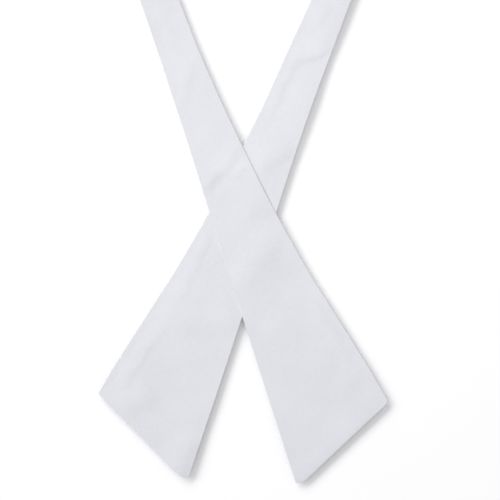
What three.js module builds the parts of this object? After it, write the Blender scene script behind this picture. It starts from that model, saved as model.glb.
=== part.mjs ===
import * as THREE from 'three';

// A long cloth tie lying on a table: two flared blades that cross, and the band round the neck between them.
// Sizes are millimetres. X runs across the tie, Y up towards the neck and Z up from the table.

// Cloth: folded lengthwise and pressed, so every wall is two layers thick
const CLOTH = 1.2;
const EDGE_CLOTH = 0.7;
const EDGE_ROLL = 1.6;
const GAP = 0.3;
const CLOTH_COLOUR = '#e6e7eb';

// Widths that both blades share: at the neck, and where the slanting hem starts
const NECK_WIDTH = 24;
const HEM_WIDTH = 75.2;

// Blunt tip: the sharp point is tucked in, which leaves a short level end
const TIP_TUCK = 2.5;
const TIP_LEVEL = { rise: 1.2, width: 4.5 };
const TIP_SOFTNESS = 0.8;

// Each blade's place: its tip, and by distance from it the fold edge's lean from Y and the pressed width
const OVER = {
  side: 1,
  tip: { x: 35.5, y: -244.9 },
  length: 351.3,
  hemAngle: 64.5,
  cornerRound: 2.4,
  leans: [
    { fromTip: 0, lean: 17.9 },
    { fromTip: 110, lean: 17.7 },
    { fromTip: 170, lean: 17.2 },
    { fromTip: 215, lean: 17.5 },
    { fromTip: 245, lean: 18.0 },
    { fromTip: 270, lean: 18.3 },
    { fromTip: 300, lean: 18.5 },
    { fromTip: 351.3, lean: 19.5 },
  ],
  widths: [
    { fromTip: 35, width: HEM_WIDTH },
    { fromTip: 60, width: 69.4 },
    { fromTip: 106, width: 57.8 },
    { fromTip: 129, width: 51.8 },
    { fromTip: 174, width: 42.3 },
    { fromTip: 200, width: 37.7 },
    { fromTip: 245, width: 31.1 },
    { fromTip: 270, width: 28.3 },
    { fromTip: 300, width: 25.8 },
    { fromTip: 325, width: 24.7 },
    { fromTip: 350, width: NECK_WIDTH },
  ],
};
const UNDER = {
  side: -1,
  tip: { x: -36.5, y: -241.2 },
  length: 345.6,
  hemAngle: 63.5,
  cornerRound: 0.8,
  leans: [
    { fromTip: 0, lean: 18.8 },
    { fromTip: 150, lean: 18.0 },
    { fromTip: 215, lean: 18.1 },
    { fromTip: 255, lean: 19.4 },
    { fromTip: 285, lean: 20.4 },
    { fromTip: 345.6, lean: 21.0 },
  ],
  widths: [
    { fromTip: 35, width: HEM_WIDTH },
    { fromTip: 60, width: 69.5 },
    { fromTip: 106, width: 57.8 },
    { fromTip: 129, width: 51.8 },
    { fromTip: 174, width: 42.2 },
    { fromTip: 200, width: 37.7 },
    { fromTip: 245, width: 31.3 },
    { fromTip: 270, width: 28.9 },
    { fromTip: 300, width: 26.8 },
    { fromTip: 325, width: 25.0 },
    { fromTip: 350, width: NECK_WIDTH },
  ],
};

// How the upper blade steps off the lower one: level for a little, then down to the table
const DRAPE = { level: 2, slope: 12 };

// Soft folds, in each piece's own pattern: a low ridge of cloth, turned from the lengthwise direction
const OVER_FOLDS = [
  { along: 213, across: 15, turn: 65, length: 39, breadth: 4, height: 0.6 },
  { along: 275, across: 11, turn: 30, length: 29, breadth: 5, height: 0.4 },
  { along: 315, across: 12, turn: -6, length: 30, breadth: 5, height: 0.4 },
  { along: 89, across: 53, turn: -16, length: 39, breadth: 5, height: 0.5 },
  { along: 197, across: 35, turn: -3, length: 33, breadth: 11, height: 0.5 },
  { along: 148, across: 18, turn: 51, length: 54, breadth: 10, height: 0.5 },
  { along: 52, across: 58, turn: 49, length: 35, breadth: 8, height: 0.5 },
];
const UNDER_FOLDS = [
  { along: 292, across: 12, turn: 130, length: 25, breadth: 4, height: 0.6 },
  { along: 268, across: 23, turn: 176, length: 45, breadth: 3.5, height: 0.5 },
  { along: 322, across: 15, turn: 174, length: 19, breadth: 4, height: 0.4 },
  { along: 99, across: 32, turn: 112, length: 42, breadth: 9, height: 0.5 },
  { along: 64, across: 56, turn: 165, length: 38, breadth: 4.5, height: 0.5 },
  { along: 39, across: 51, turn: 123, length: 16, breadth: 7, height: 0.5 },
  { along: 14, across: 14, turn: 178, length: 30, breadth: 7, height: 0.6 },
];

// Band round the neck: flat where it leaves the blades, then twisted up to stand on its fold edge
const BAND_TILT = 84;
const TWIST_LENGTH = 105;
const BEND_EASE = 0.16;
const BAND_FOLDS = [
  { along: 52, across: 17, turn: 25, length: 34, breadth: 4, height: 1.2 },
  { along: 78, across: 15, turn: -20, length: 26, breadth: 3.5, height: 0.8 },
];

// How finely the cloth is faceted
const BLADE_ROWS = 58;
const BLADE_COLUMNS = 9;
const BAND_ROWS = 72;
const BAND_COLUMNS = 4;
const WALK_STEP = 2;
const CLOSING_STEPS = 4;
const BEND_STEPS = 240;

const rad = THREE.MathUtils.degToRad;

// Smooth curve through the rows of a table, level beyond its ends
function read(table, input, output, at) {
  const last = table.length - 1;
  const inside = THREE.MathUtils.clamp(at, table[0][input], table[last][input]);
  let row = 0;
  while (row < last - 1 && inside > table[row + 1][input]) row += 1;
  const slope = (k) => {
    const before = table[Math.max(k - 1, 0)];
    const after = table[Math.min(k + 1, last)];
    return (after[output] - before[output]) / (after[input] - before[input]);
  };
  const from = table[row];
  const to = table[row + 1];
  const span = to[input] - from[input];
  const t = (inside - from[input]) / span;
  const ease = t * t * (3 - 2 * t);
  const leave = t * (1 - t) * (1 - t) * span * slope(row);
  const arrive = t * t * (1 - t) * span * slope(row + 1);
  return from[output] * (1 - ease) + to[output] * ease + leave - arrive;
}

// Height of a piece's folds at one place: each ridge fades out at both ends
function foldHeight(folds, along, across) {
  let height = 0;
  for (const fold of folds) {
    const turn = rad(fold.turn);
    const da = along - fold.along;
    const dw = across - fold.across;
    const lengthwise = (2 * (da * Math.cos(turn) + dw * Math.sin(turn))) / fold.length;
    const sideways = (dw * Math.cos(turn) - da * Math.sin(turn)) / fold.breadth;
    height += fold.height * Math.exp(-(sideways ** 2) - lengthwise ** 4);
  }
  return height;
}

// Half the cloth's thickness: it thins where it rolls over at an edge
function halfThickness(fromEdge) {
  const inwards = THREE.MathUtils.clamp(fromEdge / EDGE_ROLL, 0, 1);
  const roll = Math.sqrt(1 - (1 - inwards) ** 2);
  return THREE.MathUtils.lerp(EDGE_CLOTH, CLOTH, roll) / 2;
}

// Places across a strip: both edges, both ends of their rolls, and even steps between
function acrossPlaces(width, columns) {
  const places = [0];
  for (let k = 0; k <= columns; k += 1) {
    places.push(EDGE_ROLL + ((width - 2 * EDGE_ROLL) * k) / columns);
  }
  places.push(width);
  return places;
}

// Closed wall of cloth round a grid of places, each with its middle point, face normal and half thickness
function clothWall(name, rows) {
  const across = rows[0].length;
  const count = rows.length * across;
  const positions = new Float32Array(count * 6);
  rows.flat().forEach((place, k) => {
    place.middle.clone().addScaledVector(place.normal, place.half).toArray(positions, k * 3);
    place.middle.clone().addScaledVector(place.normal, -place.half).toArray(positions, (count + k) * 3);
  });
  const index = [];
  const quad = (a, b, c, d) => index.push(a, b, c, a, c, d);
  for (let i = 0; i < rows.length - 1; i += 1) {
    for (let j = 0; j < across - 1; j += 1) {
      const k = i * across + j;
      quad(k, k + 1, k + across + 1, k + across);
      quad(count + k, count + k + across, count + k + across + 1, count + k + 1);
    }
  }
  const rim = [];
  for (let j = 0; j < across - 1; j += 1) rim.push(j);
  for (let i = 0; i < rows.length - 1; i += 1) rim.push(i * across + across - 1);
  for (let j = across - 1; j > 0; j -= 1) rim.push((rows.length - 1) * across + j);
  for (let i = rows.length - 1; i > 0; i -= 1) rim.push(i * across);
  rim.forEach((here, k) => {
    const next = rim[(k + 1) % rim.length];
    quad(here, count + here, count + next, next);
  });
  const geometry = new THREE.BufferGeometry();
  geometry.setAttribute('position', new THREE.BufferAttribute(positions, 3));
  geometry.setIndex(index);
  geometry.computeVertexNormals();
  const material = new THREE.MeshStandardMaterial({ color: CLOTH_COLOUR, roughness: 0.9, metalness: 0 });
  const mesh = new THREE.Mesh(geometry, material);
  mesh.name = name;
  return mesh;
}

// Where a blade's slanting end lies at a distance across from the fold edge
function hemLine(blade, across) {
  const slant = across / Math.tan(rad(blade.hemAngle)) - TIP_TUCK;
  const level = TIP_LEVEL.rise * (1 - across / TIP_LEVEL.width);
  return (slant + level + Math.hypot(slant - level, TIP_SOFTNESS)) / 2;
}

// A blade's fold edge, walked from the tip to the neck in short steps
function walkFoldEdge(blade) {
  const stations = [];
  let { x, y } = blade.tip;
  for (let along = 0; along < blade.length + 2 * WALK_STEP; along += WALK_STEP) {
    const lean = rad(read(blade.leans, 'fromTip', 'lean', along));
    stations.push({ x, y, lean });
    const between = rad(read(blade.leans, 'fromTip', 'lean', along + WALK_STEP / 2));
    x -= blade.side * Math.sin(between) * WALK_STEP;
    y += Math.cos(between) * WALK_STEP;
  }
  return stations;
}

// Place and lean of a fold edge at a distance from its tip
function onFoldEdge(stations, along) {
  const row = THREE.MathUtils.clamp(Math.floor(along / WALK_STEP), 0, stations.length - 2);
  const t = along / WALK_STEP - row;
  const from = stations[row];
  const to = stations[row + 1];
  return {
    x: THREE.MathUtils.lerp(from.x, to.x, t),
    y: THREE.MathUtils.lerp(from.y, to.y, t),
    lean: THREE.MathUtils.lerp(from.lean, to.lean, t),
  };
}

// From a place in the pattern to a place on the table
function patternToTable(blade, stations, along, across) {
  const edge = onFoldEdge(stations, along);
  return {
    x: edge.x + blade.side * Math.cos(edge.lean) * across,
    y: edge.y + Math.sin(edge.lean) * across,
  };
}

// From a place on the table to a place in the pattern, closing in on it in a few steps
function tableToPattern(blade, stations, x, y) {
  let along = (y - blade.tip.y) / Math.cos(rad(blade.leans[0].lean));
  let across = 0;
  for (let step = 0; step < CLOSING_STEPS; step += 1) {
    const edge = onFoldEdge(stations, along);
    const dx = x - edge.x;
    const dy = y - edge.y;
    along += dy * Math.cos(edge.lean) - blade.side * dx * Math.sin(edge.lean);
    across = blade.side * dx * Math.cos(edge.lean) + dy * Math.sin(edge.lean);
  }
  return { along, across };
}

// Rounds the outer corner: takes and gives the distances from the hem and from the flared edge
function roundCorner(fromHem, fromFlare, radius) {
  const inset = Math.min(fromHem, fromFlare);
  const reach = radius - inset;
  const out = Math.max(fromHem, fromFlare) - inset;
  if (out >= reach) return { fromHem, fromFlare };
  const t = (1 - out / reach) / 2;
  const far = inset + reach * (1 - t) ** 2;
  const near = inset + reach * t ** 2;
  return fromHem > fromFlare ? { fromHem: far, fromFlare: near } : { fromHem: near, fromFlare: far };
}

// Grid of a blade's cloth from the neck down to the hem, lifted by whatever lies under it
function bladeRows(blade, stations, folds, liftAt) {
  const hemStart = hemLine(blade, HEM_WIDTH);
  const flareLength = blade.length - hemStart;
  const fromHems = acrossPlaces(flareLength, BLADE_ROWS).slice(0, -1);
  fromHems[fromHems.length - 1] = flareLength;
  return fromHems.reverse().map((rowFromHem) => {
    const width = read(blade.widths, 'fromTip', 'width', hemStart + rowFromHem);
    return acrossPlaces(width, BLADE_COLUMNS).map((place) => {
      const corner = roundCorner(rowFromHem, width - place, blade.cornerRound);
      const across = width - corner.fromFlare;
      const hem = hemLine(blade, (across / width) * HEM_WIDTH);
      const along = hem + (corner.fromHem / flareLength) * (blade.length - hem);
      const { x, y } = patternToTable(blade, stations, along, across);
      const fromEdge = Math.min(place, width - place, rowFromHem);
      const z = CLOTH / 2 + liftAt(x, y) + foldHeight(folds, along, across);
      return {
        middle: new THREE.Vector3(x, y, z),
        normal: new THREE.Vector3(0, 0, 1),
        half: halfThickness(fromEdge),
      };
    });
  });
}

const underEdge = walkFoldEdge(UNDER);
const overEdge = walkFoldEdge(OVER);

// Height of the upper blade's underside: it rides over the lower blade and comes down on each side of it
function liftOverUnder(x, y) {
  const place = tableToPattern(UNDER, underEdge, x, y);
  const width = read(UNDER.widths, 'fromTip', 'width', place.along);
  const outside = Math.max(-place.across, place.across - width);
  return (CLOTH + GAP) * (1 - THREE.MathUtils.smoothstep(outside - DRAPE.level, 0, DRAPE.slope));
}

// Fold edge of the neckband: one bend from the upper blade round to the lower one, eased in and out
function walkBand() {
  const start = onFoldEdge(overEdge, OVER.length + GAP);
  const end = onFoldEdge(underEdge, UNDER.length + GAP);
  const heading = Math.PI / 2 + start.lean;
  const chord = Math.hypot(end.x - start.x, end.y - start.y);
  const turn = 2 * (heading - Math.atan2(end.y - start.y, end.x - start.x));
  const bends = [];
  for (let k = 0; k < BEND_STEPS; k += 1) {
    const share = (k + 0.5) / BEND_STEPS;
    bends.push(THREE.MathUtils.smoothstep(Math.min(share, 1 - share), 0, BEND_EASE));
  }
  const total = bends.reduce((sum, bend) => sum + bend, 0);
  const unit = [{ x: 0, y: 0 }];
  const headings = [heading];
  let turned = 0;
  bends.forEach((bend, k) => {
    const middle = heading - (turn * (turned + bend / 2)) / total;
    turned += bend;
    unit.push({ x: unit[k].x + Math.cos(middle), y: unit[k].y + Math.sin(middle) });
    headings.push(heading - (turn * turned) / total);
  });
  const step = chord / Math.hypot(unit[BEND_STEPS].x, unit[BEND_STEPS].y);
  const stations = unit.map((place, k) => ({
    x: start.x + place.x * step,
    y: start.y + place.y * step,
    heading: headings[k],
  }));
  return { step, length: step * BEND_STEPS, stations };
}

// Grid of the neckband's cloth, from the upper blade round to the lower one
function bandRows(band) {
  const rows = [];
  for (let k = 0; k <= BAND_ROWS; k += 1) {
    const along = (band.length * k) / BAND_ROWS;
    const row = Math.min(Math.floor(along / band.step), BEND_STEPS - 1);
    const t = along / band.step - row;
    const from = band.stations[row];
    const to = band.stations[row + 1];
    const heading = THREE.MathUtils.lerp(from.heading, to.heading, t);
    const fromBlade = Math.min(along, band.length - along);
    const tilt = rad(BAND_TILT) * THREE.MathUtils.smoothstep(fromBlade, 0, TWIST_LENGTH);
    const inward = new THREE.Vector3(Math.sin(heading), -Math.cos(heading), 0);
    const up = new THREE.Vector3(0, 0, 1);
    const widthwise = inward.clone().multiplyScalar(Math.cos(tilt)).addScaledVector(up, Math.sin(tilt));
    const normal = up.clone().multiplyScalar(Math.cos(tilt)).addScaledVector(inward, -Math.sin(tilt));
    const foot = new THREE.Vector3(
      THREE.MathUtils.lerp(from.x, to.x, t),
      THREE.MathUtils.lerp(from.y, to.y, t),
      0,
    );
    rows.push(acrossPlaces(NECK_WIDTH, BAND_COLUMNS).map((across) => {
      const proud = CLOTH / 2 + foldHeight(BAND_FOLDS, fromBlade, across);
      return {
        middle: foot.clone().addScaledVector(widthwise, across).addScaledVector(normal, proud),
        normal,
        half: halfThickness(Math.min(across, NECK_WIDTH - across)),
      };
    }));
  }
  return rows;
}

// The grid has to run the same way round on both blades, so the mirrored one is turned about
function facingUp(blade, rows) {
  return blade.side > 0 ? rows.map((row) => row.reverse()) : rows;
}

const tie = new THREE.Group();
tie.add(clothWall('blade_over', facingUp(OVER, bladeRows(OVER, overEdge, OVER_FOLDS, liftOverUnder))));
tie.add(clothWall('blade_under', facingUp(UNDER, bladeRows(UNDER, underEdge, UNDER_FOLDS, () => 0))));
tie.add(clothWall('neckband', bandRows(walkBand())));

export default tie;
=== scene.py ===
"""A white sailor tie, laid flat on a pale table and seen from straight above.

Sizes are millimetres unless a name says otherwise, and the meshes are made in metres.
"""

import logging
import math
from dataclasses import dataclass, field
from enum import Enum
from typing import NamedTuple, Sequence

import bpy
import numpy as np
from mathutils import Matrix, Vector

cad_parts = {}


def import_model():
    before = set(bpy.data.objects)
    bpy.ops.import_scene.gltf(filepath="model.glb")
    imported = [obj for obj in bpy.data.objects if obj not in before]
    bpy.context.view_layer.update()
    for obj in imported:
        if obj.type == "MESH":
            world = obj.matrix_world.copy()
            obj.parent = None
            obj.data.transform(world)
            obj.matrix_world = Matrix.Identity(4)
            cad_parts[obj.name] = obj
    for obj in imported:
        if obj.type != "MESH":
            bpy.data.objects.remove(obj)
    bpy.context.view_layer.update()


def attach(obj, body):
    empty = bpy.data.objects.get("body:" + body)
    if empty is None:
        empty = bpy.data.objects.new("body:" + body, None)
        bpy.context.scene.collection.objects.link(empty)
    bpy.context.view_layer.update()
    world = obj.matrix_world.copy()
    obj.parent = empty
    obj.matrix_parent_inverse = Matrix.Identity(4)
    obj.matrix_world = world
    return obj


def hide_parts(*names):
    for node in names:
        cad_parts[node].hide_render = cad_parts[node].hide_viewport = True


log = logging.getLogger("sailor_tie")

MM = 0.001
ROOT_BODY = "root"
PATTERN_LAYER = "pattern"

# A fold's line wavers from side to side by this much, once in this length
FOLD_WAVER = 0.6
FOLD_WAVER_LENGTH = 17.0

# How near counts as on an edge, the least reach to divide by, and how many steps close in on a place
ON_THE_EDGE = 0.01
LEAST_REACH = 1e-6
CLOSING_STEPS = 4

# A colour Mix node has sockets of like names for each kind of value, so its colour sockets go by number
MIX_COLOUR_A = 6
MIX_COLOUR_B = 7
MIX_COLOUR_RESULT = 2


class Width(NamedTuple):
    """How wide the pressed blade is at a distance from its tip."""

    from_tip: float
    width: float


class Lean(NamedTuple):
    """How far a blade's fold edge leans from Y at a distance from its tip, in degrees."""

    from_tip: float
    lean: float


class Fold(NamedTuple):
    """A low ridge of cloth in a piece's own pattern, turned from the lengthwise direction.

    It falls away within the steep breadth on one side and within the easy breadth on the other.
    """

    along: float
    across: float
    turn: float
    length: float
    steep: float
    easy: float
    height: float


class Side(Enum):
    """Which way a blade's cloth lies from its fold edge: to the right or to the left."""

    RIGHT = 1
    LEFT = -1


def smoothstep(value: np.ndarray, low: float, high: float) -> np.ndarray:
    """Eased step from 0 at low to 1 at high.

    Args:
        value: Where the step is read.
        low: Where it starts.
        high: Where it ends.

    Returns:
        The step's height at each value.
    """
    t = np.clip((np.asarray(value, float) - low) / (high - low), 0.0, 1.0)
    return t * t * (3.0 - 2.0 * t)


def crowded(low: float, high: float, count: int, crowding: float) -> np.ndarray:
    """Places from low to high that stand closer together near both ends.

    Args:
        low: The first place.
        high: The last place.
        count: How many steps lie between them.
        crowding: 0 for even steps, towards 1 for very short ones at the ends.

    Returns:
        The places, one more than the steps.
    """
    t = np.linspace(0.0, 1.0, count + 1)
    t = t - crowding * np.sin(2.0 * math.pi * t) / (2.0 * math.pi)
    return low + (high - low) * t


class SmoothTable:
    """Smooth curve through the rows of a two-column table, level beyond its ends."""

    def __init__(self, rows: Sequence[tuple[float, float]]) -> None:
        """Keeps the columns and works out the slope at each row.

        Args:
            rows: The table, in rising order of its first column.
        """
        self.places, self.values = (np.array(column, float) for column in zip(*rows))
        order = np.arange(len(rows))
        before = np.maximum(order - 1, 0)
        after = np.minimum(order + 1, len(rows) - 1)
        rise = self.values[after] - self.values[before]
        self.slopes = rise / (self.places[after] - self.places[before])

    def at(self, place: np.ndarray | float) -> np.ndarray:
        """Reads the curve.

        Args:
            place: Where it is read, in the first column's units.

        Returns:
            The curve's value at each place.
        """
        inside = np.clip(np.asarray(place, float), self.places[0], self.places[-1])
        row = np.clip(np.searchsorted(self.places, inside, side="right") - 1, 0, len(self.places) - 2)
        span = self.places[row + 1] - self.places[row]
        t = (inside - self.places[row]) / span
        ease = t * t * (3.0 - 2.0 * t)
        leave = t * (1.0 - t) ** 2 * span * self.slopes[row]
        arrive = t * t * (1.0 - t) * span * self.slopes[row + 1]
        return self.values[row] * (1.0 - ease) + self.values[row + 1] * ease + leave - arrive


@dataclass(frozen=True)
class Ripples:
    """Unevenness of laid cloth: plane waves of about one length in seeded directions and phases."""

    seed: int
    wavelength: float
    height: float
    waves: int = 9
    shortest: float = 0.7
    longest: float = 1.5

    def at(self, x: np.ndarray, y: np.ndarray) -> np.ndarray:
        """Height of the unevenness.

        Args:
            x: Places across.
            y: Places along.

        Returns:
            Heights that mostly stay between plus and minus twice the ripples' own height.
        """
        draw = np.random.default_rng(self.seed)
        total = np.zeros(np.broadcast(x, y).shape)
        for _ in range(self.waves):
            heading = draw.uniform(0.0, 2.0 * math.pi)
            length = self.wavelength * draw.uniform(self.shortest, self.longest)
            phase = draw.uniform(0.0, 2.0 * math.pi)
            reach = x * math.cos(heading) + y * math.sin(heading)
            total += np.sin(2.0 * math.pi * reach / length + phase)
        return self.height * total / math.sqrt(self.waves / 2.0)


def fold_height(folds: Sequence[Fold], along: np.ndarray, across: np.ndarray) -> np.ndarray:
    """Height of a piece's folds: each ridge fades out at both ends.

    Args:
        folds: The table of folds.
        along: Places along the pattern.
        across: Places across the pattern.

    Returns:
        How far the cloth stands up there.
    """
    height = np.zeros(np.broadcast(along, across).shape)
    for fold in folds:
        turn = math.radians(fold.turn)
        da = along - fold.along
        dw = across - fold.across
        onwards = da * math.cos(turn) + dw * math.sin(turn)
        waver = FOLD_WAVER * np.sin(2.0 * math.pi * onwards / FOLD_WAVER_LENGTH + fold.along)
        sideways = dw * math.cos(turn) - da * math.sin(turn) - waver
        sideways = sideways / np.where(sideways > 0.0, fold.steep, fold.easy)
        lengthwise = 2.0 * onwards / fold.length
        height = height + fold.height * np.exp(-(sideways**2) - lengthwise**4)
    return height


def add_object(name: str, data: bpy.types.ID) -> bpy.types.Object:
    """Makes an object from its data and links it to the scene."""
    made = bpy.data.objects.new(name, data)
    bpy.context.scene.collection.objects.link(made)
    return made


def add_mesh(name: str, places: np.ndarray, faces: np.ndarray) -> bpy.types.Object:
    """Makes a smooth mesh object and links it to the scene.

    Args:
        name: The object's name, and its mesh's.
        places: The vertices, three numbers each.
        faces: Four vertex numbers for each face.

    Returns:
        The new object.
    """
    mesh = bpy.data.meshes.new(name)
    mesh.from_pydata((places * MM).tolist(), [], faces.tolist())
    mesh.polygons.foreach_set("use_smooth", np.ones(len(faces), bool))
    mesh.update()
    return add_object(name, mesh)


def grid_quads(numbers: np.ndarray) -> np.ndarray:
    """Faces of a grid of vertices.

    Args:
        numbers: The vertices' numbers, in rows and columns.

    Returns:
        Four vertex numbers for each face.
    """
    corners = (numbers[:-1, :-1], numbers[:-1, 1:], numbers[1:, 1:], numbers[1:, :-1])
    return np.stack([corner.ravel() for corner in corners], axis=1)


@dataclass(frozen=True)
class PressedCloth:
    """Thickness of the tie's two layers of cloth.

    They are thickest along the hem, and pressed thinner and thinner towards the seamed edge. The seam
    allowances between them end in a soft step.
    """

    thickness: float = 0.46
    # Seamed long edge: its own thickness and roll, and how much and how far in the cloth is pressed thin
    seam_edge: float = 0.16
    seam_roll: float = 0.5
    seam_press: float = 0.26
    seam_fade: float = 18.0
    # Slanting hem: its own thickness and roll, and how much and how far in its turning thickens the cloth
    hem_edge: float = 0.5
    hem_roll: float = 2.8
    hem_extra: float = 0.2
    hem_fade: float = 22.0
    # Join with the next piece: the dip on both sides of it, and the gap between the two
    join_dip: float = 0.16
    join_roll: float = 1.2
    gap: float = 0.3
    # Seam allowances: how wide they are, and the step where they end
    allowance: float = 9.0
    allowance_step: float = 0.03
    step_width: float = 4.5
    # Rounded rim: how far it stands out, as a share of half the thickness
    edge_bulge: float = 0.25

    @property
    def rim(self) -> float:
        """How far the rounded rim stands out from the grid's border."""
        return self.thickness / 2.0 * self.edge_bulge

    @staticmethod
    def rolled(distance: np.ndarray, reach: float) -> np.ndarray:
        """Rise of a rolled edge: 0 at the edge itself and 1 past its reach."""
        inwards = np.clip(distance / reach, 0.0, 1.0)
        return inwards * (2.0 - inwards)

    def half(self, from_seam: np.ndarray, from_hem: np.ndarray | float,
             from_join: np.ndarray) -> np.ndarray:
        """Half the thickness at a place. The pressed fold edge is as thick as the rest.

        Args:
            from_seam: Distance from the seamed long edge.
            from_hem: Distance from the hem, endless where there is none.
            from_join: Distance from the nearest join with another piece.

        Returns:
            Half the thickness, thin at an edge and full past its roll.
        """
        start = self.allowance - self.step_width / 2.0
        inside = smoothstep(np.minimum(from_seam, from_hem), start, start + self.step_width)
        full = self.thickness - self.allowance_step * inside
        full = full + self.hem_extra * (1.0 - smoothstep(from_hem, 0.0, self.hem_fade))
        full = full - self.seam_press * (1.0 - smoothstep(from_seam, 0.0, self.seam_fade))
        seam = (self.seam_edge - full) * (1.0 - self.rolled(from_seam, self.seam_roll))
        hem = (self.hem_edge - full) * (1.0 - self.rolled(from_hem, self.hem_roll))
        join = -self.join_dip * (1.0 - self.rolled(from_join, self.join_roll))
        return (full + np.minimum(np.minimum(seam, hem), join)) / 2.0


@dataclass
class ClothGrid:
    """A piece of cloth as a grid: its middle surface, face normals, thickness and pattern places."""

    middle: np.ndarray
    normal: np.ndarray
    half: np.ndarray
    pattern: np.ndarray
    seamed: np.ndarray
    rim_steps: int = 6
    rim_bulge: float = PressedCloth.edge_bulge
    # Along a seam the rim is drawn in at its middle, by this share of its bulge and this sharply
    seam_notch: float = 0.5
    notch_sharpness: int = 6

    def mirrored(self) -> "ClothGrid":
        """The same grid with its columns turned about, so that its face still points up."""
        return ClothGrid(middle=self.middle[:, ::-1], normal=self.normal[:, ::-1], half=self.half[:, ::-1],
                         pattern=self.pattern[:, ::-1], seamed=self.seamed[:, ::-1])

    def rim_order(self) -> tuple[np.ndarray, np.ndarray]:
        """The grid's border, once round.

        Returns:
            Row and column of each border place, anticlockwise as seen from the face.
        """
        rows, columns = self.half.shape
        down = np.arange(rows)
        over = np.arange(columns)
        row = np.concatenate([np.zeros(columns - 1, int), down[:-1],
                              np.full(columns - 1, rows - 1), down[:0:-1]])
        column = np.concatenate([over[:-1], np.full(rows - 1, columns - 1),
                                 over[:0:-1], np.zeros(rows - 1, int)])
        return row, column

    def mesh(self, name: str) -> bpy.types.Object:
        """Builds the closed wall of cloth: a face, a back and a rounded rim between them.

        Args:
            name: The piece's name.

        Returns:
            The new object, linked to the scene.
        """
        rows, columns = self.half.shape
        count = rows * columns
        lift = self.normal * self.half[..., None]
        face = (self.middle + lift).reshape(-1, 3)
        back = (self.middle - lift).reshape(-1, 3)
        numbers = np.arange(count).reshape(rows, columns)
        quads = grid_quads(numbers)
        row, column = self.rim_order()
        border = numbers[row, column]
        centre = self.middle[row, column]
        normal = self.normal[row, column]
        half = self.half[row, column][:, None]
        notch = self.seamed[row, column][:, None] * self.seam_notch
        onwards = np.roll(centre, -1, axis=0) - np.roll(centre, 1, axis=0)
        out = np.cross(onwards, normal)
        out /= np.linalg.norm(out, axis=1, keepdims=True)
        rings, ring_numbers = [], [border]
        for step in range(1, self.rim_steps):
            angle = math.pi * (0.5 - step / self.rim_steps)
            drawn_in = notch * math.cos(angle) ** self.notch_sharpness
            bulge = self.rim_bulge * math.cos(angle) * (1.0 - drawn_in)
            rings.append(centre + out * half * bulge + normal * half * math.sin(angle))
            ring_numbers.append(2 * count + (step - 1) * len(border) + np.arange(len(border)))
        ring_numbers.append(count + border)
        faces = [quads, count + quads[:, ::-1]]
        for upper, lower in zip(ring_numbers, ring_numbers[1:]):
            faces.append(np.stack([upper, lower, np.roll(lower, -1), np.roll(upper, -1)], axis=1))
        piece = add_mesh(name, np.concatenate([face, back, *rings]), np.concatenate(faces))
        flat = self.pattern.reshape(-1, 3)
        pattern = np.concatenate([flat, flat, *[flat[border]] * len(rings)])
        layer = piece.data.attributes.new(PATTERN_LAYER, "FLOAT_VECTOR", "POINT")
        layer.data.foreach_set("vector", (pattern * MM).astype(np.float32).ravel())
        return piece


@dataclass(frozen=True)
class BladePattern:
    """A flared end, measured from its tip along the fold edge.

    Both are cut alike, and each is pressed and pulled a little off that.
    """

    rows: tuple[Width, ...]
    hem_angle: float
    hem_width: float = 75.2
    tip_tuck: float = 2.5
    tip_rise: float = 1.2
    tip_level: float = 4.5
    tip_softness: float = 0.8
    area_columns: int = 400
    area_rows: int = 800

    def width(self, from_tip: np.ndarray) -> np.ndarray:
        """Width of the blade at a distance from its tip."""
        return SmoothTable(self.rows).at(from_tip)

    def hem(self, across: np.ndarray | float) -> np.ndarray:
        """Where the slanting end lies, as a distance from the tip.

        Args:
            across: Distance from the fold edge.

        Returns:
            The hem line's place, with the blunt tip worked in.
        """
        slant = across / math.tan(math.radians(self.hem_angle)) - self.tip_tuck
        level = self.tip_rise * (1.0 - across / self.tip_level)
        return (slant + level + np.hypot(slant - level, self.tip_softness)) / 2.0

    def area(self, length: float) -> float:
        """Flat area of one pressed blade, in square metres.

        Args:
            length: From the tip to the neckband along the fold edge.

        Returns:
            The area inside the outline.
        """
        across = np.linspace(0.0, self.hem_width, self.area_columns)
        along = np.linspace(0.0, length, self.area_rows)
        inside = along[:, None] > self.hem(across)[None, :]
        inside &= across[None, :] < self.width(along)[:, None]
        return float(inside.mean()) * length * self.hem_width * MM * MM


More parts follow.
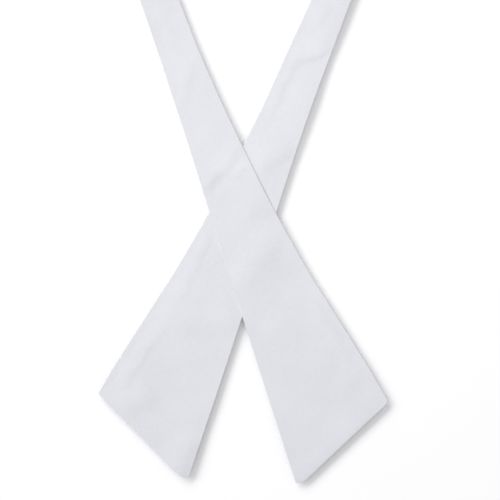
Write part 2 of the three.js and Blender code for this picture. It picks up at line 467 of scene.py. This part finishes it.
@dataclass
class Blade:
    """One flared blade of the tie, where it lies on the table."""

    name: str
    node: str
    side: Side
    tip: tuple[float, float]
    length: float
    corner_round: float
    leans: tuple[Lean, ...]
    pattern: BladePattern
    folds: tuple[Fold, ...]
    ripples: tuple[Ripples, ...]
    cloth: PressedCloth = field(default_factory=PressedCloth)
    rests_on: "Blade | None" = None
    pressed_by: "Blade | None" = None
    # Over another blade: the gap between them, where beside it the cloth starts to come down, how far that
    # takes near the tip and near the neck, and the stretch of Y over which that changes
    nap_gap: float = 0.02
    drape_start: float = -2.5
    drape_low: float = 25.0
    drape_high: float = 55.0
    drape_change: tuple[float, float] = (-120.0, -80.0)
    # Under another blade: how far beside it the cloth still lies flatter
    press_width: float = 9.0
    rows: int = 300
    columns: int = 76
    row_crowding: float = 0.72
    column_crowding: float = 0.78
    walk_step: float = 1.0
    spare_steps: int = 4

    def __post_init__(self) -> None:
        """Walks the fold edge from the tip to just past the neck in short steps."""
        self.walk = np.arange(0.0, self.length + self.spare_steps * self.walk_step, self.walk_step)
        lean = SmoothTable(self.leans)
        between = np.radians(lean.at(self.walk[:-1] + self.walk_step / 2.0))
        start_x, start_y = self.tip
        steps_x = -self.side.value * np.sin(between) * self.walk_step
        steps_y = np.cos(between) * self.walk_step
        self.edge_x = start_x + np.concatenate([[0.0], np.cumsum(steps_x)])
        self.edge_y = start_y + np.concatenate([[0.0], np.cumsum(steps_y)])
        self.edge_lean = np.radians(lean.at(self.walk))

    def fold_edge(self, along: np.ndarray | float) -> tuple[np.ndarray, np.ndarray, np.ndarray]:
        """Place and lean of the fold edge.

        Args:
            along: Distance from the tip.

        Returns:
            X, Y and lean in radians.
        """
        return (np.interp(along, self.walk, self.edge_x), np.interp(along, self.walk, self.edge_y),
                np.interp(along, self.walk, self.edge_lean))

    def on_table(self, along: np.ndarray, across: np.ndarray) -> tuple[np.ndarray, np.ndarray]:
        """Where a place in the pattern lies on the table.

        Args:
            along: Distance from the tip along the fold edge.
            across: Distance from the fold edge.

        Returns:
            X and Y.
        """
        x, y, lean = self.fold_edge(along)
        return x + self.side.value * np.cos(lean) * across, y + np.sin(lean) * across

    def in_pattern(self, x: np.ndarray, y: np.ndarray) -> tuple[np.ndarray, np.ndarray]:
        """Which place of the pattern lies nearest a place on the table.

        Args:
            x: Places across the table.
            y: Places up the table.

        Returns:
            Distances along the fold edge from the tip, and across from the fold edge.
        """
        along = (y - self.tip[1]) / math.cos(math.radians(self.leans[0].lean))
        across = np.zeros_like(along)
        for _ in range(CLOSING_STEPS):
            edge_x, edge_y, lean = self.fold_edge(along)
            dx, dy = x - edge_x, y - edge_y
            along = along + dy * np.cos(lean) - self.side.value * dx * np.sin(lean)
            across = self.side.value * dx * np.cos(lean) + dy * np.sin(lean)
        return along, across

    def outside(self, x: np.ndarray, y: np.ndarray) -> np.ndarray:
        """How far a place on the table lies outside this blade's long edges.

        Args:
            x: Places across the table.
            y: Places up the table.

        Returns:
            The distance, negative over the blade itself.
        """
        along, across = self.in_pattern(x, y)
        return np.maximum(-across, across - self.pattern.width(along))

    def round_corner(self, from_hem: np.ndarray,
                     from_flare: np.ndarray) -> tuple[np.ndarray, np.ndarray]:
        """Rounds the outer corner of the pattern.

        Args:
            from_hem: Distances from the hem.
            from_flare: Distances from the flared edge.

        Returns:
            The same distances, drawn in near the corner.
        """
        inset = np.minimum(from_hem, from_flare)
        reach = np.maximum(self.corner_round - inset, LEAST_REACH)
        out = np.maximum(from_hem, from_flare) - inset
        t = (1.0 - np.minimum(out / reach, 1.0)) / 2.0
        near_corner = out < reach
        far = np.where(near_corner, inset + reach * (1.0 - t) ** 2, inset + out)
        near = np.where(near_corner, inset + reach * t**2, inset)
        hem_is_far = from_hem > from_flare
        return np.where(hem_is_far, far, near), np.where(hem_is_far, near, far)

    def lift(self, x: np.ndarray, y: np.ndarray) -> np.ndarray:
        """Height of the cloth's underside over what it rests on.

        Args:
            x: Places across the table.
            y: Places up the table.

        Returns:
            Zero on the table, and over another blade its thickness, eased down to the table beside it.
        """
        if self.rests_on is None:
            return np.zeros_like(x)
        drape = self.drape_low + (self.drape_high - self.drape_low) * smoothstep(y, *self.drape_change)
        beside = (self.rests_on.outside(x, y) - self.drape_start) / drape
        top = self.rests_on.cloth.thickness + self.nap_gap
        return top * (1.0 - smoothstep(beside, 0.0, 1.0))

    def relief(self, x: np.ndarray, y: np.ndarray, along: np.ndarray, across: np.ndarray) -> np.ndarray:
        """Height of the folds and of the unevenness, which lie flat under another blade.

        Args:
            x: Places across the table.
            y: Places up the table.
            along: The same places along the pattern.
            across: The same places across the pattern.

        Returns:
            How far the cloth stands up, never below the table.
        """
        height = fold_height(self.folds, along, across)
        height = height + sum(ripple.at(across, along) for ripple in self.ripples)
        height = np.maximum(height, 0.0)
        if self.pressed_by is None:
            return height
        return height * smoothstep(self.pressed_by.outside(x, y), 0.0, self.press_width)

    def grid(self) -> ClothGrid:
        """Lays the blade out as a grid, from its neck end down to its hem.

        Returns:
            The grid, with its face up.
        """
        rim = self.cloth.rim
        wide = self.pattern.hem_width
        hem_start = float(self.pattern.hem(wide))
        flare_length = self.length - hem_start
        neck_reach = flare_length + self.cloth.gap / 2.0 - rim
        from_hem = crowded(rim, neck_reach, self.rows, self.row_crowding)[::-1, None]
        width = self.pattern.width(hem_start + from_hem)
        share = crowded(0.0, 1.0, self.columns, self.column_crowding)
        from_hem, width, share = np.broadcast_arrays(from_hem, width, share)
        from_end = from_hem - rim
        from_flare = width - rim - (rim + (width - 2.0 * rim) * share)
        round_end, round_flare = self.round_corner(from_end, from_flare)
        across = width - rim - round_flare
        hem = self.pattern.hem(across / width * wide)
        along = hem + (round_end + rim) / flare_length * (self.length - hem)
        x, y = self.on_table(along, across)
        half = self.cloth.half(from_flare, from_end, neck_reach - from_hem)
        z = half + self.lift(x, y) + self.relief(x, y, along, across)
        level = np.zeros_like(z)
        grid = ClothGrid(middle=np.stack([x, y, z], axis=-1),
                         normal=np.stack([level, level, level + 1.0], axis=-1), half=half,
                         pattern=np.stack([across, along, level], axis=-1),
                         seamed=(np.minimum(from_flare, from_end) < ON_THE_EDGE).astype(float))
        return grid if self.side is Side.LEFT else grid.mirrored()

    def build(self) -> bpy.types.Object:
        """Makes the blade's mesh."""
        return self.grid().mesh(self.name)


@dataclass
class Neckband:
    """The strip round the neck: flat at the blades, then twisted up to stand on its fold edge."""

    upper: Blade
    lower: Blade
    name: str = "neckband_cloth"
    node: str = "neckband"
    width: float = 24.0
    tilt: float = 84.0
    twist_length: float = 105.0
    bend_ease: float = 0.16
    bend_steps: int = 480
    rows: int = 380
    columns: int = 30
    row_crowding: float = 0.72
    column_crowding: float = 0.7
    cloth: PressedCloth = field(default_factory=PressedCloth)
    folds: tuple[Fold, ...] = (
        Fold(along=52, across=17, turn=25, length=34, steep=4, easy=4, height=1.0),
        Fold(along=78, across=15, turn=-20, length=26, steep=3.5, easy=3.5, height=0.7),
    )
    ripples: tuple[Ripples, ...] = (Ripples(seed=31, wavelength=46, height=0.16),
                                    Ripples(seed=32, wavelength=11, height=0.012))

    def __post_init__(self) -> None:
        """Walks the fold edge from the upper blade round to the lower one, in one eased bend."""
        start_x, start_y, start_lean = self.upper.fold_edge(self.upper.length + self.cloth.gap)
        end_x, end_y, _ = self.lower.fold_edge(self.lower.length + self.cloth.gap)
        heading = math.pi / 2.0 + float(start_lean)
        turn = 2.0 * (heading - math.atan2(end_y - start_y, end_x - start_x))
        share = (np.arange(self.bend_steps) + 0.5) / self.bend_steps
        bend = smoothstep(np.minimum(share, 1.0 - share), 0.0, self.bend_ease)
        bend *= turn / bend.sum()
        turned = np.concatenate([[0.0], np.cumsum(bend)])
        middle = heading - turned[:-1] - bend / 2.0
        x = np.concatenate([[0.0], np.cumsum(np.cos(middle))])
        y = np.concatenate([[0.0], np.cumsum(np.sin(middle))])
        step = math.hypot(end_x - start_x, end_y - start_y) / math.hypot(x[-1], y[-1])
        self.walk = np.arange(self.bend_steps + 1) * step
        self.length = float(self.walk[-1])
        self.walk_x, self.walk_y = start_x + x * step, start_y + y * step
        self.walk_heading = heading - turned

    def grid(self) -> ClothGrid:
        """Lays the band out as a grid, from the upper blade round to the lower one.

        Returns:
            The grid, with its face up at the blades and inwards round the neck.
        """
        rim = self.cloth.rim
        reach = self.cloth.gap / 2.0 - rim
        along = crowded(-reach, self.length + reach, self.rows, self.row_crowding)[:, None]
        across = crowded(rim, self.width - rim, self.columns, self.column_crowding)
        along, across = np.broadcast_arrays(along, across)
        heading = np.interp(along, self.walk, self.walk_heading)
        from_blade = np.minimum(along, self.length - along)
        tilt = math.radians(self.tilt) * smoothstep(from_blade, 0.0, self.twist_length)
        level = np.zeros_like(heading)
        inward = np.stack([np.sin(heading), -np.cos(heading), level], axis=-1)
        up = np.array([0.0, 0.0, 1.0])
        widthwise = inward * np.cos(tilt)[..., None] + up * np.sin(tilt)[..., None]
        normal = up * np.cos(tilt)[..., None] - inward * np.sin(tilt)[..., None]
        foot = np.stack([np.interp(along, self.walk, self.walk_x),
                         np.interp(along, self.walk, self.walk_y), level], axis=-1)
        from_seam = self.width - rim - across
        half = self.cloth.half(from_seam, math.inf, from_blade + reach)
        relief = fold_height(self.folds, from_blade, across)
        relief = relief + sum(ripple.at(across, along) for ripple in self.ripples)
        proud = (half + np.maximum(relief, 0.0))[..., None]
        middle = foot + widthwise * across[..., None] + normal * proud
        return ClothGrid(middle=middle, normal=normal, half=half,
                         pattern=np.stack([across, along, level], axis=-1),
                         seamed=(from_seam < ON_THE_EDGE).astype(float))

    def build(self) -> bpy.types.Object:
        """Makes the band's mesh."""
        return self.grid().mesh(self.name)


def linear(colour: str) -> tuple[float, float, float, float]:
    """Turns an sRGB hex colour to the linear one that shaders use.

    Args:
        colour: Six hex digits after a hash.

    Returns:
        Red, green, blue and an alpha of 1.
    """
    parts = [int(colour[k:k + 2], 16) / 255.0 for k in (1, 3, 5)]
    red, green, blue = (c / 12.92 if c <= 0.04045 else ((c + 0.055) / 1.055) ** 2.4 for c in parts)
    return red, green, blue, 1.0


def add_node(tree: bpy.types.NodeTree, kind: str, settings: dict | None = None,
             inputs: dict | None = None) -> bpy.types.Node:
    """Adds a node with its settings, input values and links.

    Args:
        tree: The node tree that it goes into.
        kind: Blender's name for the kind of node.
        settings: The node's own properties by name.
        inputs: Socket values by name or number; another node's output is linked instead.

    Returns:
        The new node.
    """
    made = tree.nodes.new(kind)
    for name, value in (settings or {}).items():
        setattr(made, name, value)
    for name, value in (inputs or {}).items():
        if isinstance(value, bpy.types.NodeSocket):
            tree.links.new(value, made.inputs[name])
        else:
            made.inputs[name].default_value = value
    return made


def bare_tree(owner: bpy.types.Material | bpy.types.World) -> bpy.types.NodeTree:
    """Turns on the nodes of a material or world, and empties their tree."""
    owner.use_nodes = True
    owner.node_tree.nodes.clear()
    return owner.node_tree


@dataclass(frozen=True)
class PlainWeavePoplin:
    """Poly-cotton poplin: fine plain-woven white shirt cloth, washed and pressed.

    It gives the eye a matt, slightly cool white that is even from afar, with a fine dry grain close to,
    whose valleys are darkened by painted shade, and a soft bloom where a fold turns away, from the short
    fibres that stand off the yarn.
    """

    name: str = "plain_weave_poplin"
    # The darker colour is the yarn's own darker tone, and also painted shade in the weave's valleys
    yarn_colour: str = "#e0e1e5"
    dark_tone_and_valley_shade_colour: str = "#d4d5d9"
    roughness: float = 0.88
    ior: float = 1.5
    specular: float = 0.3
    sheen: float = 0.12
    sheen_roughness: float = 0.5
    # Real threads lie about 0.25 mm apart; they are drawn at twice that, or a close view shows none
    thread_spacing: float = 0.52
    thread_depth: float = 0.035
    bump_strength: float = 0.5
    thread_waver: float = 0.16
    waver_size: float = 4.0
    slub_length: float = 3.6
    slub_width: float = 1.3
    slub_height: float = 0.5
    mottle_size: float = 38.0
    mottle_roughness: float = 0.55
    # How much slubs (yarn tone) and thread crowns (painted shade) add to the mottle, and the two colours'
    # sums
    slub_tone: float = 0.5
    crown_painted_shade: float = 0.35
    valley_sum: float = 0.65
    yarn_sum: float = 1.6

    def build(self) -> bpy.types.Material:
        """Makes the material: its weave follows each piece's own pattern.

        Returns:
            The new material.
        """
        material = bpy.data.materials.new(self.name)
        tree = bare_tree(material)
        place = add_node(tree, "ShaderNodeAttribute", {"attribute_name": PATTERN_LAYER})
        waver = add_node(tree, "ShaderNodeTexNoise", {"noise_dimensions": "3D"},
                         {"Vector": place.outputs["Vector"], "Scale": 1.0 / (self.waver_size * MM),
                          "Detail": 3.0})
        centred = add_node(tree, "ShaderNodeVectorMath", {"operation": "SUBTRACT"},
                           {0: waver.outputs["Color"], 1: (0.5, 0.5, 0.5)})
        shifted = add_node(tree, "ShaderNodeVectorMath", {"operation": "SCALE"},
                           {0: centred.outputs["Vector"], "Scale": self.thread_waver * MM})
        moved = add_node(tree, "ShaderNodeVectorMath", {"operation": "ADD"},
                         {0: place.outputs["Vector"], 1: shifted.outputs["Vector"]})
        turns = add_node(tree, "ShaderNodeVectorMath", {"operation": "SCALE"},
                         {0: moved.outputs["Vector"], "Scale": math.pi / (self.thread_spacing * MM)})
        parts = add_node(tree, "ShaderNodeSeparateXYZ", None, {"Vector": turns.outputs["Vector"]})
        warp = add_node(tree, "ShaderNodeMath", {"operation": "SINE"}, {0: parts.outputs["X"]})
        weft = add_node(tree, "ShaderNodeMath", {"operation": "SINE"}, {0: parts.outputs["Y"]})
        weave = add_node(tree, "ShaderNodeMath", {"operation": "MULTIPLY"},
                         {0: warp.outputs["Value"], 1: weft.outputs["Value"]})
        crowns = add_node(tree, "ShaderNodeMath", {"operation": "ABSOLUTE"},
                          {0: weave.outputs["Value"]})
        slubs = [self.slub(tree, place, across) for across in (True, False)]
        slub = add_node(tree, "ShaderNodeMath", {"operation": "ADD"},
                        {0: slubs[0].outputs["Fac"], 1: slubs[1].outputs["Fac"]})
        mottle = add_node(tree, "ShaderNodeTexNoise", {"noise_dimensions": "3D"},
                          {"Vector": place.outputs["Vector"], "Scale": 1.0 / (self.mottle_size * MM),
                           "Detail": 4.0, "Roughness": self.mottle_roughness})
        tone = add_node(tree, "ShaderNodeMath", {"operation": "MULTIPLY_ADD"},
                        {0: slub.outputs["Value"], 1: self.slub_tone, 2: mottle.outputs["Fac"]})
        # Painted shade: the crowns' share makes the weave's crowns lighter and its valleys darker
        shade = add_node(tree, "ShaderNodeMath", {"operation": "MULTIPLY_ADD"},
                         {0: crowns.outputs["Value"], 1: self.crown_painted_shade, 2: tone.outputs["Value"]})
        fac = add_node(tree, "ShaderNodeMapRange", {"clamp": True},
                       {"Value": shade.outputs["Value"], "From Min": self.valley_sum,
                        "From Max": self.yarn_sum})
        colour = add_node(tree, "ShaderNodeMix", {"data_type": "RGBA"},
                          {"Factor": fac.outputs["Result"], MIX_COLOUR_A: linear(self.dark_tone_and_valley_shade_colour),
                           MIX_COLOUR_B: linear(self.yarn_colour)})
        height = add_node(tree, "ShaderNodeMath", {"operation": "MULTIPLY_ADD"},
                          {0: slub.outputs["Value"], 1: self.slub_height, 2: crowns.outputs["Value"]})
        bump = add_node(tree, "ShaderNodeBump", None,
                        {"Height": height.outputs["Value"], "Strength": self.bump_strength,
                         "Distance": self.thread_depth * MM})
        shader = add_node(tree, "ShaderNodeBsdfPrincipled", None,
                          {"Base Color": colour.outputs[MIX_COLOUR_RESULT],
                           "Normal": bump.outputs["Normal"],
                           "Roughness": self.roughness, "IOR": self.ior,
                           "Specular IOR Level": self.specular, "Sheen Weight": self.sheen,
                           "Sheen Roughness": self.sheen_roughness})
        add_node(tree, "ShaderNodeOutputMaterial", None, {"Surface": shader.outputs["BSDF"]})
        return material

    def slub(self, tree: bpy.types.NodeTree, place: bpy.types.Node, across: bool) -> bpy.types.Node:
        """Adds the thick and thin places of the yarn in one direction.

        Args:
            tree: The material's node tree.
            place: The node that gives the place in the pattern.
            across: True for the yarns that run across the strip.

        Returns:
            A noise node, long along the yarn and narrow across it.
        """
        long = 1.0 / (self.slub_length * MM)
        short = 1.0 / (self.slub_width * MM)
        scale = (long, short, 1.0) if across else (short, long, 1.0)
        stretched = add_node(tree, "ShaderNodeVectorMath", {"operation": "MULTIPLY"},
                             {0: place.outputs["Vector"], 1: scale})
        return add_node(tree, "ShaderNodeTexNoise", {"noise_dimensions": "3D"},
                        {"Vector": stretched.outputs["Vector"], "Scale": 1.0, "Detail": 2.0})


@dataclass(frozen=True)
class MattCard:
    """Matt white card that the tie lies on: an even pale ground for the soft shadow."""

    name: str = "matt_white_card"
    colour: str = "#fcfcfc"
    roughness: float = 1.0

    def build(self) -> bpy.types.Material:
        """Makes the card's material.

        Returns:
            The new material.
        """
        material = bpy.data.materials.new(self.name)
        tree = bare_tree(material)
        shader = add_node(tree, "ShaderNodeBsdfPrincipled", None,
                          {"Base Color": linear(self.colour), "Roughness": self.roughness,
                           "Specular IOR Level": 0.0})
        add_node(tree, "ShaderNodeOutputMaterial", None, {"Surface": shader.outputs["BSDF"]})
        return material


UNDER_WIDTHS: tuple[Width, ...] = (
    Width(from_tip=35, width=75.2),
    Width(from_tip=60, width=69.5),
    Width(from_tip=106, width=57.8),
    Width(from_tip=129, width=51.8),
    Width(from_tip=174, width=42.2),
    Width(from_tip=200, width=37.7),
    Width(from_tip=245, width=31.3),
    Width(from_tip=270, width=28.9),
    Width(from_tip=300, width=26.8),
    Width(from_tip=325, width=25.0),
    Width(from_tip=350, width=24),
)

OVER_WIDTHS: tuple[Width, ...] = (
    Width(from_tip=35, width=75.2),
    Width(from_tip=60, width=69.4),
    Width(from_tip=106, width=57.8),
    Width(from_tip=129, width=51.8),
    Width(from_tip=174, width=42.3),
    Width(from_tip=200, width=37.7),
    Width(from_tip=245, width=31.1),
    Width(from_tip=270, width=28.3),
    Width(from_tip=300, width=25.8),
    Width(from_tip=325, width=24.7),
    Width(from_tip=350, width=24),
)

UNDER_FOLDS: tuple[Fold, ...] = (
    Fold(along=292, across=12, turn=130, length=25, steep=3, easy=9, height=0.39),
    Fold(along=268, across=23, turn=176, length=45, steep=3, easy=6, height=0.24),
    Fold(along=322, across=15, turn=174, length=19, steep=3, easy=8, height=0.22),
    Fold(along=222, across=12, turn=139, length=27, steep=6, easy=14, height=0.39),
    Fold(along=143, across=39, turn=173, length=54, steep=2.6, easy=6, height=0.2),
    Fold(along=98, across=47, turn=168, length=50, steep=3.5, easy=6, height=0.11),
    Fold(along=103, across=24, turn=112, length=63, steep=9, easy=13, height=0.31),
    Fold(along=64, across=56, turn=165, length=38, steep=3, easy=7, height=0.28),
    Fold(along=38, across=48, turn=129, length=21, steep=7, easy=9, height=0.45),
    Fold(along=13, across=7, turn=176, length=31, steep=7, easy=10, height=0.63),
    Fold(along=65, across=16, turn=130, length=30, steep=6, easy=9, height=0.14),
    Fold(along=252, across=1, turn=-177, length=55, steep=6, easy=15, height=0.45),
    Fold(along=322, across=1, turn=-175, length=43, steep=6, easy=14, height=0.48),
)

OVER_FOLDS: tuple[Fold, ...] = (
    Fold(along=213, across=13, turn=64, length=33, steep=3.4, easy=10, height=0.42),
    Fold(along=210, across=9, turn=60, length=15, steep=2, easy=4, height=0.11),
    Fold(along=224, across=28, turn=68, length=13, steep=4, easy=8, height=0.2),
    Fold(along=210, across=26, turn=76, length=18, steep=3, easy=5, height=0.24),
    Fold(along=199, across=14, turn=73, length=26, steep=10, easy=6, height=0.21),
    Fold(along=180, across=25, turn=67, length=26, steep=6, easy=10, height=0.2),
    Fold(along=275, across=11, turn=30, length=29, steep=3.5, easy=7, height=0.22),
    Fold(along=315, across=12, turn=-6, length=30, steep=4, easy=7, height=0.2),
    Fold(along=89, across=53, turn=-16, length=39, steep=4, easy=7, height=0.36),
    Fold(along=197, across=35, turn=-3, length=33, steep=9, easy=14, height=0.28),
    Fold(along=48, across=-3, turn=4, length=56, steep=7, easy=5, height=0.25),
    Fold(along=101, across=13, turn=59, length=25, steep=6, easy=6, height=0.14),
    Fold(along=56, across=54, turn=47, length=31, steep=8, easy=12, height=0.31),
    Fold(along=148, across=18, turn=51, length=54, steep=9, easy=12, height=0.48),
)


@dataclass
class SailorTie:
    """The whole tie: two blades that cross, and the neckband between them."""

    finish: PlainWeavePoplin = field(default_factory=PlainWeavePoplin)
    slot: str = "tie_cloth"
    lower: Blade = field(default_factory=lambda: Blade(
        name="blade_under_cloth",
        node="blade_under",
        side=Side.LEFT,
        tip=(-36.5, -241.2),
        length=345.6,
        corner_round=0.8,
        leans=(
            Lean(from_tip=0, lean=18.8),
            Lean(from_tip=150, lean=18.0),
            Lean(from_tip=215, lean=18.1),
            Lean(from_tip=255, lean=19.4),
            Lean(from_tip=285, lean=20.4),
            Lean(from_tip=345.6, lean=21.0),
        ),
        pattern=BladePattern(rows=UNDER_WIDTHS, hem_angle=63.5),
        folds=UNDER_FOLDS,
        ripples=(
            Ripples(seed=11, wavelength=60, height=0.1),
            Ripples(seed=12, wavelength=9, height=0.004),
        ),
    ))
    upper: Blade = field(default_factory=lambda: Blade(
        name="blade_over_cloth",
        node="blade_over",
        side=Side.RIGHT,
        tip=(35.5, -244.9),
        length=351.3,
        corner_round=2.4,
        leans=(
            Lean(from_tip=0, lean=17.9),
            Lean(from_tip=110, lean=17.7),
            Lean(from_tip=170, lean=17.2),
            Lean(from_tip=215, lean=17.5),
            Lean(from_tip=245, lean=18.0),
            Lean(from_tip=270, lean=18.3),
            Lean(from_tip=300, lean=18.5),
            Lean(from_tip=351.3, lean=19.5),
        ),
        pattern=BladePattern(rows=OVER_WIDTHS, hem_angle=64.5),
        folds=OVER_FOLDS,
        ripples=(
            Ripples(seed=21, wavelength=60, height=0.1),
            Ripples(seed=22, wavelength=9, height=0.004),
        ),
    ))
    band: Neckband = field(init=False)

    def __post_init__(self) -> None:
        """Lays the upper blade over the lower one, and joins them with the neckband."""
        self.upper.rests_on = self.lower
        self.lower.pressed_by = self.upper
        self.band = Neckband(upper=self.upper, lower=self.lower)

    def build(self) -> list[bpy.types.Object]:
        """Returns:
            The pieces, the lower blade first.
        """
        material = self.finish.build()
        made = []
        for part in (self.lower, self.upper, self.band):
            piece = part.build()
            piece.data.materials.append(material)
            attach(piece, ROOT_BODY)
            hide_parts(part.node)
            made.append(piece)
        self.lower.pattern.area(self.lower.length)
        self.upper.pattern.area(self.upper.length)
        return made


@dataclass(frozen=True)
class Softbox:
    """A cloth-fronted light that faces a place on the table.

    Its bearing is counted from X towards Y, and its elevation from the table, both in degrees.
    """

    name: str
    bearing: float
    elevation: float
    distance: float
    breadth: float
    height: float
    watts: float
    beam: float = 180.0
    aim_shift: tuple[float, float] = (0.0, 0.0)

    def hang(self, aim: Vector) -> bpy.types.Object:
        """Hangs the light and turns it to what it lights.

        Args:
            aim: The middle of the picture, in metres.

        Returns:
            The new light.
        """
        lamp = bpy.data.lights.new(self.name, "AREA")
        lamp.shape = "RECTANGLE"
        lamp.size = self.breadth * MM
        lamp.size_y = self.height * MM
        lamp.energy = self.watts
        lamp.spread = math.radians(self.beam)
        bearing, rise = math.radians(self.bearing), math.radians(self.elevation)
        level = math.cos(rise)
        away = Vector((math.cos(bearing) * level, math.sin(bearing) * level, math.sin(rise)))
        light = add_object(self.name, lamp)
        shift_x, shift_y = self.aim_shift
        light.location = aim + Vector((shift_x * MM, shift_y * MM, 0.0)) + away * self.distance * MM
        light.rotation_mode = "QUATERNION"
        light.rotation_quaternion = (-away).to_track_quat("-Z", "Y")
        return light


@dataclass(frozen=True)
class Studio:
    """Pale card for a table, a broad light from the upper left, a weak one from above and the camera."""

    # The picture: its middle on the table and how much of the table it takes in
    view_x: float = 4.7
    view_y: float = -88.9
    view_width: float = 332.5
    camera_height: float = 1600.0
    sensor: float = 36.0
    camera_reach_m: float = 100.0
    # The card: how far it lies under the blades and under the neckband, the stretch of Y over which it
    # rises from one to the other, and the distances beside and behind over which it falls back
    card_size: float = 40000.0
    blade_drop: float = 2.4
    band_drop: float = 0.05
    card_rise: tuple[float, float] = (80.0, 150.0)
    card_fall: tuple[float, float] = (130.0, 560.0)
    card_steps: int = 16
    lights: tuple[Softbox, ...] = (
        Softbox(name="window_light", bearing=141.0, elevation=27.0, distance=6000.0,
                breadth=8200.0, height=2200.0, watts=390.0),
        Softbox(name="gridded_top_light", bearing=90.0, elevation=88.0, distance=2500.0,
                breadth=200.0, height=200.0, watts=0.034, beam=13.6, aim_shift=(0.0, 103.0)),
    )
    room_colour: str = "#fdfdff"
    room_strength: float = 0.655

    def floor(self) -> bpy.types.Object:
        """Lays the pale card: a little below the blades for their soft shadow, and up to the neckband.

        Returns:
            The card.
        """
        reach = self.card_size / 2.0
        fall = np.linspace(*self.card_fall, self.card_steps + 1)
        beside = np.concatenate([[-reach], -fall[::-1], fall, [reach]])
        onwards = np.concatenate([[-reach], np.linspace(*self.card_rise, self.card_steps + 1),
                                  self.card_rise[1] + fall, [reach]])
        x, y = np.meshgrid(beside, onwards)
        risen = smoothstep(y, *self.card_rise)
        risen *= 1.0 - smoothstep(y - self.card_rise[1], *self.card_fall)
        risen *= 1.0 - smoothstep(np.abs(x), *self.card_fall)
        z = risen * (self.blade_drop - self.band_drop) - self.blade_drop
        places = np.stack([x, y, z], axis=-1).reshape(-1, 3)
        table = add_mesh("table_top", places, grid_quads(np.arange(x.size).reshape(x.shape)))
        table.data.materials.append(MattCard().build())
        return table

    def room(self) -> None:
        """Fills the room with even light."""
        world = bpy.data.worlds.new("bright_room")
        tree = bare_tree(world)
        sky = add_node(tree, "ShaderNodeBackground", None,
                       {"Color": linear(self.room_colour), "Strength": self.room_strength})
        add_node(tree, "ShaderNodeOutputWorld", None, {"Surface": sky.outputs["Background"]})
        bpy.context.scene.world = world

    def camera(self) -> bpy.types.Object:
        """Sets the camera straight above, with the photograph's frame on the table.

        Returns:
            The scene's camera.
        """
        lens = bpy.data.cameras.new("overhead_camera")
        lens.sensor_width = self.sensor
        lens.lens = self.sensor * self.camera_height / self.view_width
        lens.clip_end = self.camera_reach_m
        overhead = add_object("overhead_camera", lens)
        overhead.location = (self.view_x * MM, self.view_y * MM, self.camera_height * MM)
        bpy.context.scene.camera = overhead
        return overhead

    def build(self) -> None:
        """Sets up the camera, the table and the light."""
        self.camera()
        self.floor()
        aim = Vector((self.view_x * MM, self.view_y * MM, 0.0))
        for softbox in self.lights:
            softbox.hang(aim)
        self.room()
        bpy.context.scene.view_settings.view_transform = "Standard"


def main() -> None:
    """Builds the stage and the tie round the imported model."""
    logging.basicConfig(level=logging.INFO, format="%(name)s %(message)s")
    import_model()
    Studio().build()
    for piece in SailorTie().build():
        log.info("%s is in place: %d faces", piece.name, len(piece.data.polygons))
    bpy.context.view_layer.update()


if __name__ == "__main__":
    main()
